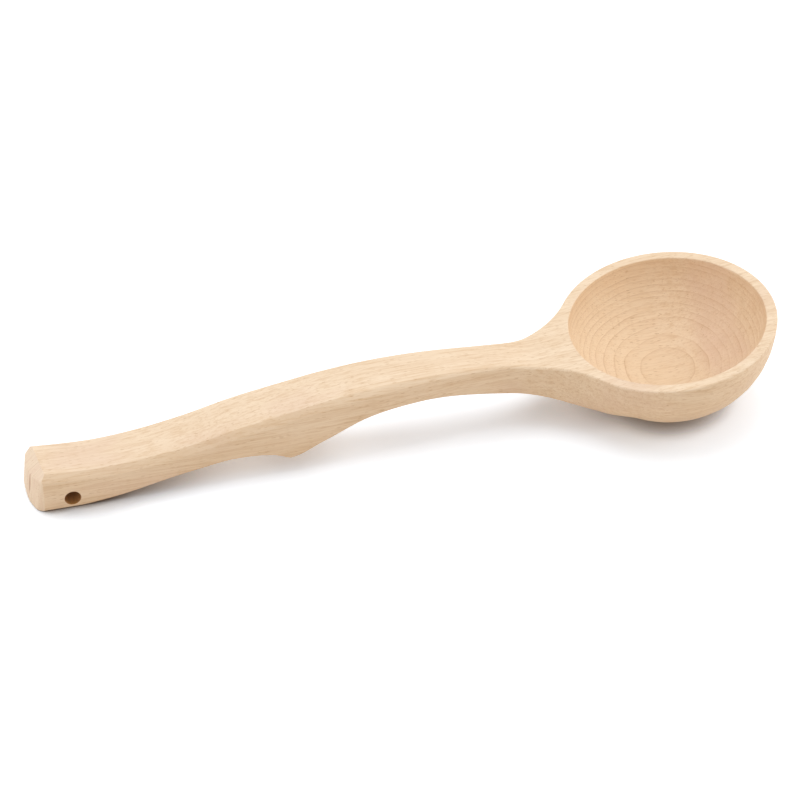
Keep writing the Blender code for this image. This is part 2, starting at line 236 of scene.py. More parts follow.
front_under = smooth_curve([
    (-SPUR_AT, SPUR_UNDER), (-SPUR_FACE_AT, SPUR_FACE_UNDER), (-FOREGRIP_AT, FOREGRIP_UNDER),
    (-ARCH_AT, ARCH_UNDER), (-WAIST_AT, WAIST_UNDER), (-NECK_AT, NECK_UNDER),
    (-KEEL_AT, KEEL_UNDER), (0.0, 0.0)])
half_width = smooth_curve([
    (-HEEL_AT, BUTT_HALF_WIDTH), (-SPUR_AT, GRIP_HALF_WIDTH), (-FOREGRIP_AT, FOREGRIP_HALF_WIDTH),
    (-WAIST_AT, WAIST_HALF_WIDTH)])
upper_bevel = smooth_curve([
    (-SPUR_AT, GRIP_BEVEL), (-FOREGRIP_AT, FOREGRIP_BEVEL), (-WAIST_AT, NECK_EASE)])


def top_height(x):
    return handle_top(x) if x < -NECK_TOP_AT else rim_plane(x)


def under_height(x):
    return back_under(x) if x < -SPUR_AT else front_under(x)


def ease(t):
    return t * t * (3 - 2 * t)


def wall_share(x, y):
    """Return how far out a plan point lies: 0 at the middle, 1 on the ladle's outline."""
    back, off = -x, abs(y)
    if back >= WAIST_AT:
        return off / half_width(x)
    if off * WAIST_AT <= WAIST_HALF_WIDTH * back:
        return off / WAIST_HALF_WIDTH
    distance = math.hypot(back, off)
    if off * WAIST_AT >= FLARE_CENTRE_Y * back:
        return distance / BOWL_RADIUS
    toward = (back * WAIST_AT + off * FLARE_CENTRE_Y) / distance
    return distance / (toward - math.sqrt(toward ** 2 - FLARE_REACH ** 2 + NECK_FILLET ** 2))


def swell(share, roundness):
    return 1 - (1 - share ** roundness) ** (1 / roundness)


def lower_surface(x, y):
    """Return the height of the wood's lower surface over a plan point inside the outline."""
    share = wall_share(x, y)
    if share >= 1:
        return math.inf
    top, under = top_height(x), max(0.0, under_height(x))
    box = under + (top - under) * swell(share, BOX_ROUNDNESS)
    blend = ease(min(1.0, max(0.0, (x + MERGE_START_AT) / MERGE_LENGTH)))
    roundness = BOX_ROUNDNESS * (BOWL_ROUNDNESS / BOX_ROUNDNESS) ** blend
    wall = top * swell(share, roundness)
    bowl = (wall ** MERGE_POWER + under ** MERGE_POWER) ** (1 / MERGE_POWER)
    return box + (bowl - box) * blend


def soften(path, corners, reach):
    """Round the named corners of a path, a list of (across, height) points."""
    points = []
    for i, corner in enumerate(path):
        if i not in corners:
            points.append(corner)
            continue
        before, after = path[i - 1], path[i + 1]
        a = min(reach / math.dist(corner, before), SOFT_SHARE)
        b = min(reach / math.dist(corner, after), SOFT_SHARE)
        for j in range(SOFT_STEPS + 1):
            t = j / SOFT_STEPS
            first, last = a * (1 - t) ** 2, b * t ** 2
            points.append(tuple(
                c + (p - c) * first + (q - c) * last for c, p, q in zip(corner, before, after)))
    return points


def side_section(edge, keel, bevel):
    """Return one side of a section, from the upper edge down the wall and in to the keel."""
    reach = math.dist(edge, keel)
    top = top_height(edge[0])
    ahead = ((edge[0] - keel[0]) / reach, (edge[1] - keel[1]) / reach)
    wall = [(0.0, top - bevel)]
    start = math.atan2(bevel, reach)
    for i in range(1, SECTION_RAYS + 1):
        angle = start + (math.pi / 2 - start) * i / SECTION_RAYS
        inner, outer = 0.0, math.hypot(reach, top)
        for _ in range(SEARCH_STEPS):
            middle = (inner + outer) / 2
            out, height = middle * math.cos(angle), top - middle * math.sin(angle)
            if height > lower_surface(keel[0] + ahead[0] * out, keel[1] + ahead[1] * out):
                inner = middle
            else:
                outer = middle
        wall.append((reach - inner * math.cos(angle), top - inner * math.sin(angle)))
    down = (0.0, top - WALL_FLAT * bevel)
    while len(wall) > 1 and wall[1][1] > down[1]:
        wall.pop(1)
    path = [(TOP_FLAT * bevel, top), (bevel, top), wall[0], down] + wall[1:]
    points = []
    for inward, height in spread(soften(path, (1, 2), EDGE_SOFT), SECTION_STEPS):
        points.append((edge[0] - ahead[0] * inward, edge[1] - ahead[1] * inward, height))
    return points


def spread(path, steps):
    """Return steps + 1 points along a path, set closer together where it bends."""
    lengths = [math.dist(a, b) for a, b in zip(path, path[1:])]
    total = sum(lengths)
    weights = []
    heading = None
    for (a, b), length in zip(zip(path, path[1:]), lengths):
        if length < WELD:
            weights.append(0.0)
            continue
        angle = math.atan2(b[1] - a[1], b[0] - a[0])
        bend = 0.0 if heading is None else abs(angle - heading)
        weights.append(length / total + bend / (math.pi / 2))
        heading = angle
    goal = sum(weights) / steps
    points = [path[0]]
    done = 0.0
    for (a, b), weight in zip(zip(path, path[1:]), weights):
        while weight > 0 and done + weight >= goal * len(points) and len(points) < steps:
            t = (goal * len(points) - done) / weight
            points.append((a[0] + (b[0] - a[0]) * t, a[1] + (b[1] - a[1]) * t))
        done += weight
    return points + [path[-1]]


def all_sections():
    """Return one side's sections in order from the butt, through the neck, round to the front."""
    sections = []
    stops = [-BLANK_END_AT, -END_AT, -HEEL_AT, -SPUR_AT, -WAIST_AT]
    for start, stop in zip(stops, stops[1:]):
        count = max(1, round((stop - start) / STATION_STEP))
        for i in range(count):
            x = start + (stop - start) * i / count
            sections.append(side_section((x, half_width(x)), (x, 0.0), upper_bevel(x)))
    sweep = NECK_FILLET * (math.pi / 2 - FLARE_END_ANGLE)
    merge = BOWL_RADIUS * (math.pi - FLARE_END_ANGLE - MERGE_ANGLE)
    for i in range(NECK_STEPS):
        t = i / NECK_STEPS
        angle = math.pi / 2 + (FLARE_END_ANGLE - math.pi / 2) * t
        edge = (
            -WAIST_AT + NECK_FILLET * math.cos(angle),
            FLARE_CENTRE_Y - NECK_FILLET * math.sin(angle))
        keel = (edge[0] * (1 - ease(sweep * t / (sweep + merge))), 0.0)
        sections.append(side_section(edge, keel, NECK_EASE + (RIM_EASE - NECK_EASE) * t))
    for i in range(BOWL_STEPS + 1):
        angle = (math.pi - FLARE_END_ANGLE) * (1 - i / BOWL_STEPS)
        edge = (BOWL_RADIUS * math.cos(angle), BOWL_RADIUS * math.sin(angle))
        passed = sweep + BOWL_RADIUS * (math.pi - FLARE_END_ANGLE - angle)
        keel = (edge[0] * (1 - ease(min(1.0, passed / (sweep + merge)))), 0.0)
        sections.append(side_section(edge, keel, RIM_EASE))
    return sections


def full_loop(side):
    """Return a closed loop: down one side to the keel, up the other, and back across the top."""
    mirrored = [(x, -y, z) for x, y, z in side]
    x, y, z = side[0]
    across = [(x, -y + 2 * y * i / TOP_STEPS, z) for i in range(1, TOP_STEPS)]
    return side + mirrored[-2::-1] + across


def add_object(name, data):
    thing = bpy.data.objects.new(name, data)
    bpy.context.scene.collection.objects.link(thing)
    return thing


def finish_mesh(bm, name):
    bmesh.ops.remove_doubles(bm, verts=bm.verts, dist=WELD)
    bmesh.ops.dissolve_degenerate(bm, edges=bm.edges, dist=WELD)
    bmesh.ops.recalc_face_normals(bm, faces=bm.faces)
    mesh = bpy.data.meshes.new(name)
    bm.to_mesh(mesh)
    bm.free()
    return mesh


def cut_plane(bm, point, normal):
    """Cut off what lies beyond a plane and close the cut with one flat face."""
    everything = bm.verts[:] + bm.edges[:] + bm.faces[:]
    bmesh.ops.bisect_plane(bm, geom=everything, plane_co=point, plane_no=normal, clear_outer=True)
    rim = [edge for edge in bm.edges if edge.is_boundary]
    bmesh.ops.contextual_create(bm, geom=rim)


def end_planes():
    """Return the planes of the butt's end, each a point on it and its outward direction."""
    lean = Vector((math.tan(math.radians(END_LEAN_DEG)), 0.0, 1.0))
    centre = Vector((END_ROUND - END_AT, END_ROUND_OFF, BUTT_DEPTH / 2))
    first = -math.asin((BUTT_HALF_WIDTH + END_ROUND_OFF) / END_ROUND)
    last = math.asin((BUTT_HALF_WIDTH - END_ROUND_OFF) / END_ROUND)

    def corner(side, angle, height):
        x = centre.x - END_ROUND * math.cos(angle) + END_BEVEL
        return Vector((x, side * BUTT_HALF_WIDTH, height))

    planes = []
    for i in range(END_STEPS + 1):
        angle = first + (last - first) * i / END_STEPS
        out = Vector((-math.cos(angle), math.sin(angle), 0.0))
        planes.append((centre + out * END_ROUND, out - Vector((0.0, 0.0, out.dot(lean)))))
    slant = math.radians(END_BEVEL_DEG)
    for side, angle in ((-1, first), (1, last)):
        out = Vector((-math.cos(slant), side * math.sin(slant), 0.0))
        planes.append((corner(side, angle, 0.0), out))
    top_edge = Vector((-END_AT, 0.0, BUTT_DEPTH - END_TOP_BEVEL))
    turn = math.tan(math.radians(END_TOP_TURN_DEG))
    planes.append((top_edge, Vector((-1.0, -turn, 1.0))))
    foot = Vector((-END_AT, 0.0, BUTT_DEPTH / 2)) + lean * (END_UNDER_BEVEL - BUTT_DEPTH / 2)
    steep = math.radians(END_UNDER_DEG)
    planes.append((foot, Vector((-math.cos(steep), 0.0, -math.sin(steep)))))
    out = Vector(END_CORNER_OUT).normalized()
    planes.append((corner(1, last, BUTT_DEPTH - GRIP_BEVEL) - END_CORNER * out, out))
    return planes


def end_keeper():
    """Make a block that holds the whole ladle and whose -X end is the butt's shaped end."""
    bm = bmesh.new()
    bmesh.ops.create_cube(bm, size=4 * END_AT)    # far larger than the ladle
    for point, out in end_planes():
        cut_plane(bm, point, out.normalized())
    corners = []
    for edge in bm.edges:
        middle = (edge.verts[0].co + edge.verts[1].co) / 2
        from_end = (middle + Vector((END_AT, 0.0, 0.0))).length
        if from_end < 4 * BUTT_DEPTH and edge.calc_face_angle() > math.radians(END_CREASE_DEG):
            corners.append(edge)
    bmesh.ops.bevel(
        bm, geom=corners, offset=END_SOFT, segments=SOFT_STEPS, profile=0.5, affect="EDGES")
    return add_object("end_keeper", finish_mesh(bm, "end_keeper"))


def make_blank():
    """Make the ladle's outside, closed over the top, as one mesh."""
    bm = bmesh.new()
    loops = []
    for side in all_sections():
        loops.append([bm.verts.new(point) for point in full_loop(side)])
    count = len(loops[0])
    for a, b in zip(loops, loops[1:]):
        for i in range(count):
            bm.faces.new((a[i], a[(i + 1) % count], b[(i + 1) % count], b[i]))
    bm.faces.new(loops[0])
    return finish_mesh(bm, "ladle_wood")


def turned(name, profile, steps, place):
    """Make a closed cutter: (radius, along) points turned once round and put in place on the ladle."""
    bm = bmesh.new()
    rings = []
    for radius, along in profile:
        ring = []
        for i in range(steps):
            angle = 2 * math.pi * i / steps
            point = place(radius * math.cos(angle), radius * math.sin(angle), along)
            ring.append(bm.verts.new(point))
        rings.append(ring)
    for a, b in zip(rings, rings[1:]):
        for i in range(steps):
            bm.faces.new((a[i], a[(i + 1) % steps], b[(i + 1) % steps], b[i]))
    bm.faces.new(rings[-1])
    if profile[0][0] > WELD:
        bm.faces.new(rings[0])
    return add_object(name, finish_mesh(bm, name))


def hollow_cutter():
    """Make the bowl's hollow, whose depth is measured down from the sloping rim."""
    profile = []
    for i in range(HOLLOW_RINGS):
        angle = math.pi / 2 * i / HOLLOW_RINGS
        radius = HOLLOW_RADIUS * math.sin(angle) ** (2 / HOLLOW_ROUNDNESS)
        profile.append((radius, math.cos(angle) ** (2 / HOLLOW_ROUNDNESS)))
    for i in range(SOFT_STEPS + 1):
        turn = math.pi / 2 * i / SOFT_STEPS
        across = HOLLOW_RADIUS + RIM_EASE * (1 - math.cos(turn))
        profile.append((across, RIM_EASE * (1 - math.sin(turn)) / HOLLOW_DEPTH))
    profile.append((HOLLOW_RADIUS + RIM_EASE, -CUT_PAST / HOLLOW_DEPTH))

    def place(x, y, share):
        return (x, y, rim_plane(x) - (rim_plane(x) - BOWL_FLOOR) * share)

    return turned("hollow_cutter", profile, HOLLOW_STEPS, place)


def hole_cutter():
    """Make the hanging hole, with both mouths eased where they break the butt's sides."""
    radius = HOLE_DIAMETER / 2
    wall = half_width(-HOLE_AT)
    mouth = []
    for i in range(SOFT_STEPS + 1):
        turn = math.pi / 2 * i / SOFT_STEPS
        wide = radius + HOLE_EASE * (1 - math.cos(turn))
        mouth.append((wide, wall - HOLE_EASE * (1 - math.sin(turn))))
    mouth.append((radius + HOLE_EASE, wall + CUT_PAST))
    profile = [(wide, -along) for wide, along in reversed(mouth)] + mouth

    def place(x, z, along):
        return (x - HOLE_AT, along, z + HOLE_HEIGHT)

    return turned("hole_cutter", profile, HOLE_STEPS, place)


def make_ladle():
    ladle = add_object("ladle_wood", make_blank())
    cutters = [
        ("INTERSECT", end_keeper()), ("DIFFERENCE", hollow_cutter()), ("DIFFERENCE", hole_cutter())]
    for operation, cutter in cutters:
        cut = ladle.modifiers.new(cutter.name, "BOOLEAN")
        cut.operation = operation
        cut.solver = "MANIFOLD"
        cut.object = cutter
    depsgraph = bpy.context.evaluated_depsgraph_get()
    mesh = bpy.data.meshes.new_from_object(ladle.evaluated_get(depsgraph))
    ladle.modifiers.clear()
    ladle.data = mesh
    for vertex in mesh.vertices:
        vertex.co.x += BOWL_X
    mesh.shade_smooth()
    mesh.set_sharp_from_angle(angle=math.radians(SHADE_CREASE_DEG))
    for _, cutter in cutters:
        bpy.data.objects.remove(cutter)
    return ladle


# Shader nodes
class Nodes:
    """Short ways to add linked shader nodes."""

    def __init__(self, tree):
        self.tree = tree

    def put(self, value, socket):
        """Link a node's output to a socket, or set the socket to a plain value."""
        if isinstance(value, bpy.types.NodeSocket):
            self.tree.links.new(value, socket)
        else:
            socket.default_value = value

    def add(self, kind, inputs=(), **settings):
        made = self.tree.nodes.new(kind)
        for key, value in settings.items():
            setattr(made, key, value)
        for key, value in dict(inputs).items():
            self.put(value, made.inputs[key])
        return made

    def math(self, operation, a, b=0.0):
        return self.add("ShaderNodeMath", {0: a, 1: b}, operation=operation).outputs[0]

    def plus(self, a, b):
        return self.math("ADD", a, b)

    def minus(self, a, b):
        return self.math("SUBTRACT", a, b)

    def times(self, product, *others):
        for other in others:
            product = self.math("MULTIPLY", product, other)
        return product

    def length(self, a, b):
        return self.math("SQRT", self.plus(self.times(a, a), self.times(b, b)))

    def split(self, vector):
        return self.add("ShaderNodeSeparateXYZ", {0: vector}).outputs

    def scaled(self, vector, scale):
        made = self.add("ShaderNodeVectorMath", {0: vector, 1: scale}, operation="MULTIPLY")
        return made.outputs[0]

    def noise(self, vector, scale, detail=2.0, roughness=0.5):
        made = self.add("ShaderNodeTexNoise", {
            "Vector": self.scaled(vector, scale), "Scale": 1.0,
            "Detail": detail, "Roughness": roughness})
        return made.outputs[0]

    def fade(self, value, low, high, start=0.0, end=1.0):
        """Return start for values up to low, end for values from high, and a smooth passage between."""
        made = self.add("ShaderNodeMapRange", {
            "Value": value, "From Min": low, "From Max": high, "To Min": start, "To Max": end})
        made.interpolation_type = "SMOOTHSTEP"
        return made.outputs[0]

    def mix(self, share, first, second):
        made = self.add("ShaderNodeMix", {0: share, 6: first, 7: second}, data_type="RGBA")
        return made.outputs[2]


# Colours of the wood
BASE = (0.825, 0.640, 0.455, 1.0)
PALE = (0.870, 0.695, 0.512, 1.0)
# streaks of the grain, also the painted shade on the handle's bevels
STREAK_AND_SHADE = (0.650, 0.430, 0.240, 1.0)
# pinkish patches and rays of the wood, also the painted shade on the hollow's front wall
BLUSH_AND_SHADE = (0.770, 0.560, 0.430, 1.0)
# gold of the painted light in the hollow
GOLD_PAINTED_LIGHT = (0.960, 0.760, 0.530, 1.0)
# brown of the growth rings, also the painted shade high on the hollow's wall
RING_AND_SHADE_BROWN = (0.540, 0.315, 0.150, 1.0)
FLECK = (0.500, 0.295, 0.130, 1.0)
# painted light on the sawn end
CREAM_PAINTED_LIGHT = (0.870, 0.715, 0.555, 1.0)
DUSK = (0.560, 0.365, 0.250, 1.0)
# painted shade in the hanging hole
HOLE_SHADE = (0.360, 0.140, 0.010, 1.0)

# Patterns of the wood: noise per metre along X, Y and Z
DRIFT_SCALE = (9, 26, 40)
UNEVEN_SCALE = (3, 8, 300)
BREAK_SCALE = (30, 60, 160)
BROAD_SCALE = (9, 150, 150)
PATCH_SCALE = (16, 34, 34)
STREAK_SCALE = (24, 800, 800)
FINE_SCALE = (110, 2400, 2400)
RAY_SCALE = (60, 900, 70)
FLECK_SCALE = (270, 1800, 1800)

# How strongly each shows at its most
STREAK_SHARE = 0.52
BLUSH_SHARE = 0.40
FINE_SHARE = 0.46
FLECK_SHARE = 0.55
# painted shade on the handle's bevels
BEVEL_SHADE_SHARE = 0.26
# Painted light in the hollow: lighter and more gold toward the handle, little toward the front
PAINTED_LIGHT_BACK_SHARE = 0.60         # in the hollow, toward the handle
PAINTED_LIGHT_FRONT_SHARE = 0.05
UPPER_WALL_SHADE_SHARE = 0.20
HEART_AND_SHADE_SHARES = (0.10, 0.55)
END_LIGHT_SHARE = 0.75
RAY_SHARE = 0.45
LENS_SHARE = 0.90
HOOP_SHARE = 0.45
HOLE_SHADE_SHARE = 0.85

# Growth rings: sheets that climb slightly toward the front and the far side
RING_FIRST = 0.0046            # they are counted up from this height
RING_SPACING = 0.00145
RING_GROWTH = 0.82             # under 1, they lie farther apart higher up
RING_RISE_X = 0.080
RING_RISE_Y = 0.072
RING_DRIFT = 0.0034
RING_UNEVEN = 0.0024
RING_LINE_POWER = 20.0
RING_LINE_SHARE = 0.62
RING_SHADE_POWER = 2.0
RING_SHADE_SHARE = 0.16
RING_OUTSIDE_SHARE = 0.46      # on the outside's steep faces
RING_BROKEN_SHARE = 0.35       # where a ring's line is broken
RING_LOWEST_SHARE = 0.26       # of the first rings, at the hollow's bottom

# The dark figure in the sawn end, with hoops round it
LENS_Y = -0.0035
LENS_Z = 0.0105
LENS_HALF_WIDTH = 0.0011
LENS_HALF_HEIGHT = 0.0062
HOOPS_PER_HALF_SIZE = 0.55

# Finish
FINE_RELIEF = 0.6
FLECK_RELIEF = -0.8
BUMP_STRENGTH = 0.12
BUMP_DISTANCE = 0.0003
LEAST_ROUGHNESS = 0.50
MOST_ROUGHNESS = 0.60
SPECULAR = 0.25


def growth_rings(n, place, along):
    """Return how far a point lies through its ring, from 0 to 1, and how many rings lie under it."""
    _, y, z = n.split(place)
    drift = n.minus(n.noise(place, DRIFT_SCALE), 0.5)
    uneven = n.minus(n.noise(place, UNEVEN_SCALE, 1.0), 0.5)
    level = n.minus(z, n.times(y, RING_RISE_Y))
    level = n.minus(level, n.times(along, RING_RISE_X))
    level = n.plus(level, n.times(drift, RING_DRIFT))
    level = n.plus(level, n.times(uneven, RING_UNEVEN))
    climbed = n.math("DIVIDE", n.minus(level, RING_FIRST), RING_SPACING)
    climbed = n.math("MAXIMUM", climbed, 0.0)
    return n.math("FRACT", n.math("POWER", climbed, RING_GROWTH)), climbed


def flecks(n, place):
    """Return short lenses that lie along X, of uneven size and depth, in a part of the cells."""
    cells = n.add("ShaderNodeTexVoronoi", {
        "Vector": n.scaled(place, FLECK_SCALE), "Scale": 1.0, "Randomness": 1.0}, feature="F1")
    drawn = n.add("ShaderNodeSeparateColor", {0: cells.outputs["Color"]}).outputs
    size = n.fade(drawn[0], 0.40, 1.0, 0.0, 0.42)
    fleck = n.fade(n.minus(size, cells.outputs["Distance"]), 0.0, 0.12)
    return n.times(fleck, n.fade(drawn[1], 0.0, 1.0, 0.25, 1.0))


def colour_hollow(n, colour, hollow, along, z, patch):
    """Colour the hollow: gold painted light toward the handle; painted shade up its wall and on a
    heartwood patch.
    """
    # painted light: the hollow lighter and more gold toward the handle
    lit_gold = n.fade(along, -0.02, 0.03, PAINTED_LIGHT_BACK_SHARE, PAINTED_LIGHT_FRONT_SHARE)
    colour = n.mix(n.times(hollow, lit_gold), colour, GOLD_PAINTED_LIGHT)
    # painted shade, with the crowded rings there: the hollow's wall darker and browner up toward the
    # rim
    upper = n.fade(z, 0.026, 0.048, 0.0, UPPER_WALL_SHADE_SHARE)
    colour = n.mix(n.times(hollow, upper), colour, RING_AND_SHADE_BROWN)
    # a heartwood patch on the hollow's wall toward the bowl's front, made stronger there as painted
    # shade
    heart_and_shade = n.times(n.fade(along, 0.019, 0.029), n.fade(along, 0.040, 0.046, 1.0, 0.0))
    heart_and_shade = n.times(heart_and_shade, hollow, n.fade(patch, 0.30, 0.60, *HEART_AND_SHADE_SHARES))
    return n.mix(heart_and_shade, colour, BLUSH_AND_SHADE)


def colour_end(n, colour, place, end_grain):
    """Colour the sawn end: pale with painted light, with rays up and down it and a dark figure with
    hoops round it.
    """
    _, y, z = n.split(place)
    # painted light: the sawn end and its bevels made pale
    colour = n.mix(n.times(end_grain, END_LIGHT_SHARE), colour, CREAM_PAINTED_LIGHT)
    rays = n.fade(n.noise(place, RAY_SCALE), 0.42, 0.70, 0.0, RAY_SHARE)
    colour = n.mix(n.times(rays, end_grain), colour, BLUSH_AND_SHADE)
    across = n.math("DIVIDE", n.minus(y, LENS_Y), LENS_HALF_WIDTH)
    up = n.math("DIVIDE", n.minus(z, LENS_Z), LENS_HALF_HEIGHT)
    apart = n.length(across, up)
    lens = n.fade(apart, 0.55, 1.05, LENS_SHARE, 0.0)
    colour = n.mix(n.times(lens, end_grain), colour, DUSK)
    hoop = n.minus(n.math("FRACT", n.times(apart, HOOPS_PER_HALF_SIZE)), 0.5)
    hoop = n.fade(n.math("ABSOLUTE", hoop), 0.0, 0.14, HOOP_SHARE, 0.0)
    hoop = n.times(hoop, n.fade(apart, 2.0, 6.5, 1.0, 0.0), end_grain)
    return n.mix(hoop, colour, DUSK)


def colour_hole(n, colour, along, z):
    """Paint shade on the hanging hole's wall, up to its eased mouths."""
    radius = HOLE_DIAMETER / 2
    from_axis = n.length(n.plus(along, HOLE_AT), n.minus(z, HOLE_HEIGHT))
    # painted shade inside the hanging hole
    hole_shade = n.fade(from_axis, radius + HOLE_EASE * 0.1, radius + HOLE_EASE * 0.5, HOLE_SHADE_SHARE, 0.0)
    return n.mix(hole_shade, colour, HOLE_SHADE)


def beech():
    """Pale beech: growth rings as nearly level sheets, with streaks, flecks and pores along X."""
    material = bpy.data.materials.new("beech")
    material.use_nodes = True
    tree = material.node_tree
    shader = tree.nodes["Principled BSDF"]
    n = Nodes(tree)
    coordinates = n.add("ShaderNodeTexCoord")
    place = coordinates.outputs["Object"]
    x, y, z = n.split(place)
    facing_x, _, facing_z = n.split(coordinates.outputs["Normal"])
    along = n.minus(x, BOWL_X)

    # Where on the ladle: in the hollow, on the sawn end, and on the handle's bevels, which get painted
    # shade
    hollow = n.math("LESS_THAN", n.length(along, y), HOLLOW_RADIUS + RIM_EASE / 2)
    hollow = n.times(hollow, n.math("GREATER_THAN", facing_z, -0.05))
    end_grain = n.fade(n.math("ABSOLUTE", facing_x), 0.35, 0.65)
    end_grain = n.times(end_grain, n.fade(along, -DIP_AT, -HEEL_AT))
    bevel_shade = n.times(n.fade(facing_z, 0.3, 0.5), n.fade(facing_z, 0.8, 0.92, 1.0, 0.0))
    bevel_shade = n.times(bevel_shade, n.fade(along, -SPUR_AT, -WAIST_AT, BEVEL_SHADE_SHARE, 0.0))

    # Growth rings: how much of them shows
    ring, climbed = growth_rings(n, place, along)
    outside = n.fade(facing_z, 0.20, 0.60, RING_OUTSIDE_SHARE, 0.0)
    broken = n.fade(n.noise(place, BREAK_SCALE), 0.34, 0.62, RING_BROKEN_SHARE, 1.0)
    broken = n.times(broken, n.fade(climbed, 0.9, 3.6, RING_LOWEST_SHARE, 1.0))
    shown = n.times(n.math("MAXIMUM", hollow, outside), broken)
    ring_shade = n.times(n.math("POWER", ring, RING_SHADE_POWER), shown, RING_SHADE_SHARE)
    ring_line = n.times(n.math("POWER", ring, RING_LINE_POWER), shown, RING_LINE_SHARE)

    # The other patterns
    broad = n.noise(place, BROAD_SCALE)
    patch = n.noise(place, PATCH_SCALE)
    streak = n.noise(place, STREAK_SCALE, 3.0, 0.65)
    fine = n.noise(place, FINE_SCALE, 2.0, 0.6)
    fleck = flecks(n, place)

    colour = n.mix(n.fade(broad, 0.35, 0.68), BASE, PALE)
    colour = n.mix(n.fade(streak, 0.44, 0.70, 0.0, STREAK_SHARE), colour, STREAK_AND_SHADE)
    colour = n.mix(n.fade(patch, 0.50, 0.72, 0.0, BLUSH_SHARE), colour, BLUSH_AND_SHADE)
    colour = colour_hollow(n, colour, hollow, along, z, patch)
    # painted shade on the handle's bevels, full from the spur back to the butt, fading out by the waist
    colour = n.mix(bevel_shade, colour, STREAK_AND_SHADE)
    colour = n.mix(ring_shade, colour, RING_AND_SHADE_BROWN)
    colour = n.mix(ring_line, colour, RING_AND_SHADE_BROWN)
    colour = n.mix(n.fade(fine, 0.50, 0.74, 0.0, FINE_SHARE), colour, STREAK_AND_SHADE)
    colour = colour_end(n, colour, place, end_grain)
    colour = n.mix(n.times(fleck, FLECK_SHARE), colour, FLECK)
    colour = colour_hole(n, colour, along, z)
    n.put(colour, shader.inputs["Base Color"])

    relief = n.plus(n.times(fine, FINE_RELIEF), n.times(fleck, FLECK_RELIEF))
    bump = n.add("ShaderNodeBump", {
        "Height": relief, "Strength": BUMP_STRENGTH, "Distance": BUMP_DISTANCE})
    n.put(bump.outputs[0], shader.inputs["Normal"])
    n.put(n.fade(broad, 0.3, 0.7, LEAST_ROUGHNESS, MOST_ROUGHNESS), shader.inputs["Roughness"])
    shader.inputs["Metallic"].default_value = 0.0
    shader.inputs["Specular IOR Level"].default_value = SPECULAR
    return material


# Floor
FLOOR_SIZE = 30.0
FLOOR_GAP = 0.0002             # between the floor and the ladle's lowest point
FLOOR_BOUNCE = (0.77, 0.67, 0.56, 1.0)
FLOOR_SEEN = (1.15, 1.18, 1.22, 1.0)
# painted light: lifts and cools the floor's shade near the ladle
FLOOR_SHADOW_LIFT = (1.27, 1.40, 1.54, 1.0)
FLOOR_FAR = (1.40, 1.40, 1.40, 1.0)
NEAR_REACH = 0.09
FAR_PASSAGE = (0.5, 1.5)       # distances from the origin

# The floor's painted contact shade, how far it reaches under each part of the ladle, and where along X
# the reach passes from one part's to the next
CONTACT_SHADE = (0.33, 0.28, 0.24, 1.0)
HEEL_REACH = 0.029
GRIP_REACH = 0.0185
NECK_REACH = 0.039
BOWL_REACH = 0.012
HEEL_TO_GRIP = (-0.165, -0.135)
GRIP_TO_NECK = (-0.055, 0.010)
NECK_TO_BOWL = (0.037, 0.113)

# The narrow dark line of painted shade where the wood meets the floor
LINE_SHADE = (0.15, 0.11, 0.08, 1.0)
LINE_REACH = 0.005

# The direction that the shade is looked for in, so that it falls to the right and the front: X and Y
# at the butt and at the bowl, where along X they change, and Z
BUTT_SIDE = (-0.45, 0.70)
BOWL_SIDE = (-0.12, 0.15)
SIDE_PASSAGE = (-0.060, 0.040)
SIDE_UP = 0.70


def seen_ray(n):
    """Return 1 where the white surroundings are looked at, straight or through a reflection."""
    ray = n.add("ShaderNodeLightPath")
    seen = n.math("MAXIMUM", ray.outputs["Is Camera Ray"], ray.outputs["Is Glossy Ray"])
    return n.math("MAXIMUM", seen, ray.outputs["Is Transmission Ray"])


def openness(n, samples, **inputs):
    """Return how free of other surfaces the floor's surroundings are, from 0 to 1."""
    return n.add("ShaderNodeAmbientOcclusion", inputs, samples=samples).outputs["AO"]


def floor_material():
    """White to the camera, with painted shade near the ladle; the floor's own colour, which lights the
    wood, is a warm pale cream.
    """
    material = bpy.data.materials.new("floor")
    material.use_nodes = True
    tree = material.node_tree
    tree.nodes.clear()
    n = Nodes(tree)
    place = n.add("ShaderNodeTexCoord").outputs["Object"]
    x = n.split(place)[0]
    # painted light: near the ladle the floor's shade is made paler and cooler
    pale = n.mix(n.fade(openness(n, 8, Distance=NEAR_REACH), 0.3, 1.0), FLOOR_SHADOW_LIFT, FLOOR_SEEN)

    reach = n.fade(x, *HEEL_TO_GRIP, HEEL_REACH, GRIP_REACH)
    reach = n.plus(reach, n.fade(x, *GRIP_TO_NECK, 0.0, NECK_REACH - GRIP_REACH))
    reach = n.plus(reach, n.fade(x, *NECK_TO_BOWL, 0.0, BOWL_REACH - NECK_REACH))
    aside, back = [n.fade(x, *SIDE_PASSAGE, butt, bowl) for butt, bowl in zip(BUTT_SIDE, BOWL_SIDE)]
    side = n.add("ShaderNodeCombineXYZ", {0: aside, 1: back, 2: SIDE_UP}).outputs[0]
    touching = openness(n, 16, Distance=reach, Normal=side)
    line = openness(n, 8, Distance=LINE_REACH, Normal=side)

    # painted contact shade, then its dark line where the wood meets the floor
    under = n.mix(n.fade(touching, 0.0, 0.9), CONTACT_SHADE, pale)
    under = n.mix(n.fade(line, 0.1, 0.75), LINE_SHADE, under)
    away = n.add("ShaderNodeVectorMath", {0: place}, operation="LENGTH").outputs["Value"]
    under = n.mix(n.fade(away, *FAR_PASSAGE), under, FLOOR_FAR)
    shown = n.mix(seen_ray(n), FLOOR_BOUNCE, under)
    plain = n.add("ShaderNodeBsdfDiffuse", {"Color": shown})
    out = n.add("ShaderNodeOutputMaterial")
    n.put(plain.outputs[0], out.inputs[0])
    return material


